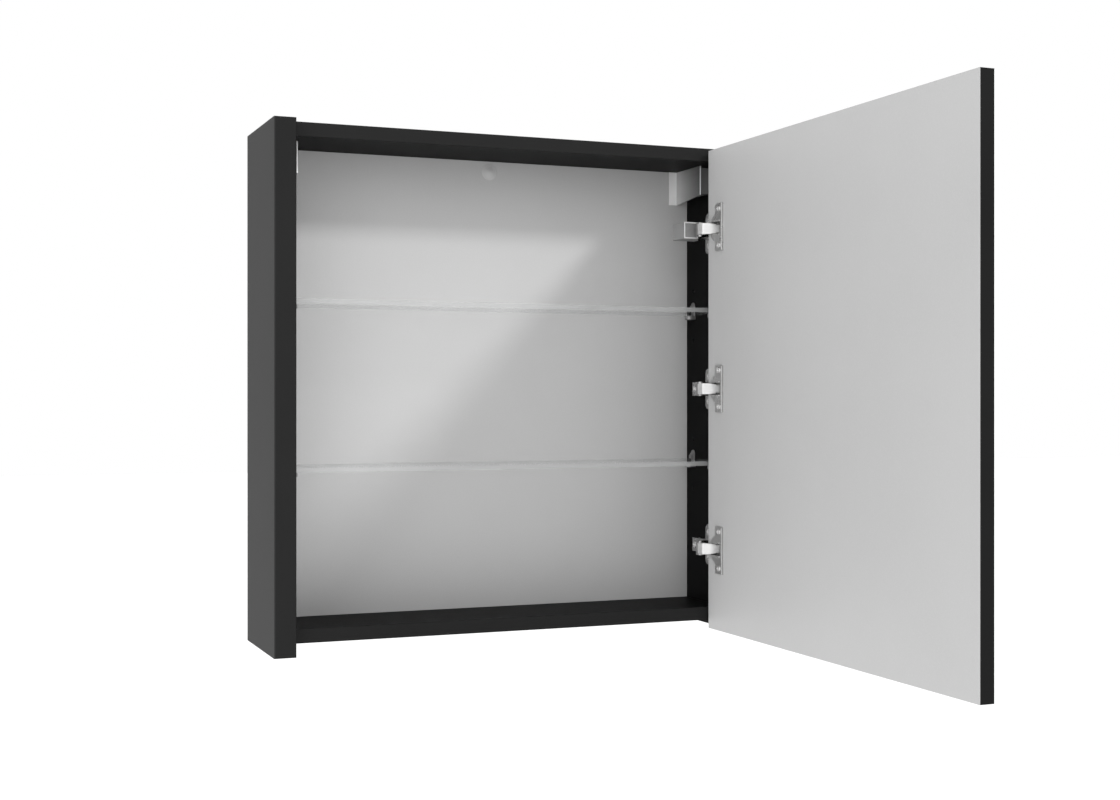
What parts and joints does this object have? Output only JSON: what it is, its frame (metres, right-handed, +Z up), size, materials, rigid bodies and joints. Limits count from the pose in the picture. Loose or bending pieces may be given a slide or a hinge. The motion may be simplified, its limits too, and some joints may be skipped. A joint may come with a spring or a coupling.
{
  "type": "mirror cabinet",
  "caption": "Wall-hung bathroom cabinet in black with glass shelves and a mirrored door on concealed hinges, shown standing open.",
  "frame": {"origin": "on the wall plane, at the centre of the rear edge of the bottom panel, halfway between the side panels", "axes": "+Z up, the front of the cabinet faces -Y, +Y points into the wall, +X to the right seen from the front; the door is stored open at a right angle on the right"},
  "size_m": [0.6, 0.6732, 0.6],
  "materials": {
    "adhesive": "cured sealant",
    "back_panel_grey": "light grey laminate",
    "cap_plastic": "light grey moulded plastic",
    "carcass_black": "satin black laminate",
    "clear_pad": "clear soft plastic",
    "clip_nickel": "nickel plated",
    "cover_plated": "satin plated",
    "cup_nickel": "nickel plated",
    "damper_plastic": "grey moulded plastic",
    "door_face_grey": "light grey laminate",
    "dowel_wood": "beech",
    "edge_band_black": "satin black edge band",
    "hanger_steel": "dark grey coated",
    "hinge_nickel": "nickel plated",
    "link_nickel": "nickel plated, polished",
    "mirror_glass": "silvered, polished edge",
    "pin_steel": "hardened steel",
    "screw_steel": "nickel plated",
    "shelf_glass": "clear polished edge",
    "support_nickel": "nickel plated"
  },
  "bodies": {
    "cabinet": {"arm_adjusting_screws": "screw_steel", "arm_fixing_screws": "screw_steel", "arm_pins": "pin_steel", "back_panel": "back_panel_grey", "back_panel_cap": "cap_plastic", "bottom_panel": "carcass_black", "damper_clip": "clip_nickel", "glass_shelf_lower": "shelf_glass", "glass_shelf_upper": "shelf_glass", "hanger_adjusters": "hanger_steel", "hanger_cover_left": "cover_plated", "hanger_cover_right": "cover_plated", "hanger_hooks": "hanger_steel", "hanger_housing_left": "hanger_steel", "hanger_housing_right": "hanger_steel", "hanger_screws": "hanger_steel", "hinge_arm_bottom": "hinge_nickel", "hinge_arm_middle": "hinge_nickel", "hinge_arm_top": "hinge_nickel", "hinge_plate_bottom": "hinge_nickel", "hinge_plate_middle": "hinge_nickel", "hinge_plate_screws": "screw_steel", "hinge_plate_top": "hinge_nickel", "joint_dowels": "dowel_wood", "shelf_support_pads": "clear_pad", "shelf_supports_lower": "support_nickel", "shelf_supports_upper": "support_nickel", "side_panel_left": "carcass_black", "side_panel_right": "carcass_black", "soft_close_damper": "damper_plastic", "top_panel": "carcass_black"},
    "hinge_links": {"hinge_link_bottom": "link_nickel", "hinge_link_middle": "link_nickel", "hinge_link_top": "link_nickel"},
    "door": {"cup_pins": "pin_steel", "cup_screws": "screw_steel", "door_board": "door_face_grey", "door_edge_band": "edge_band_black", "door_mirror": "mirror_glass", "hinge_cup_bottom": "cup_nickel", "hinge_cup_middle": "cup_nickel", "hinge_cup_top": "cup_nickel", "mirror_adhesive": "adhesive"}
  },
  "joints": [
    {"name": "arm_pin_turn", "type": "hinge", "parent": "cabinet", "child": "hinge_links", "pos_m": [0.2401, -0.1239, 0.2805], "axis": [0, 0, 1], "range_deg": [-0.8, 11.6]},
    {"name": "door_swing", "type": "hinge", "parent": "hinge_links", "child": "door", "pos_m": [0.2577, -0.1404, 0.2805], "axis": [0, 0, 1], "range_deg": [-101.37, 5]}
  ],
  "couplings": [
    {"joint": "arm_pin_turn", "follows": "door_swing", "ratio": -0.1122}
  ]
}
